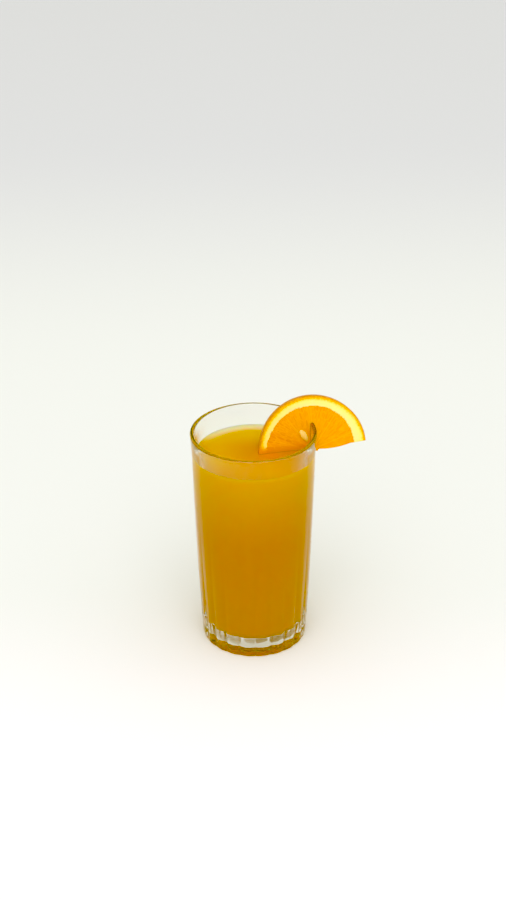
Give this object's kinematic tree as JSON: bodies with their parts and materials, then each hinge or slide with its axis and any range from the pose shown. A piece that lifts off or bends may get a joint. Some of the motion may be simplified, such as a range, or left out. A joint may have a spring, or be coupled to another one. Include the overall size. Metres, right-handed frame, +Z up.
{
  "type": "glass of fresh orange juice",
  "caption": "Tall ribbed glass tumbler filled with fresh orange juice, with a half-wheel slice of orange hung over its rim.",
  "frame": {"origin": "middle of the flat underside of the glass", "axes": "+Z up along the axis of the glass; -Y is the front; the orange slice hangs over the rim on the +X side, turned a little towards +Y and leaning back"},
  "size_m": [0.1048, 0.075, 0.1555],
  "materials": {
    "clear_glass": "clear pressed glass, fire polished",
    "orange_juice": "cloudy amber liquid, wet surface",
    "fresh_orange": "cut orange flesh, moist, with pale yellow pith and a waxy orange rind"
  },
  "bodies": {
    "root": {"glass": "clear_glass", "juice": "orange_juice", "orange_slice": "fresh_orange"}
  },
  "joints": []
}
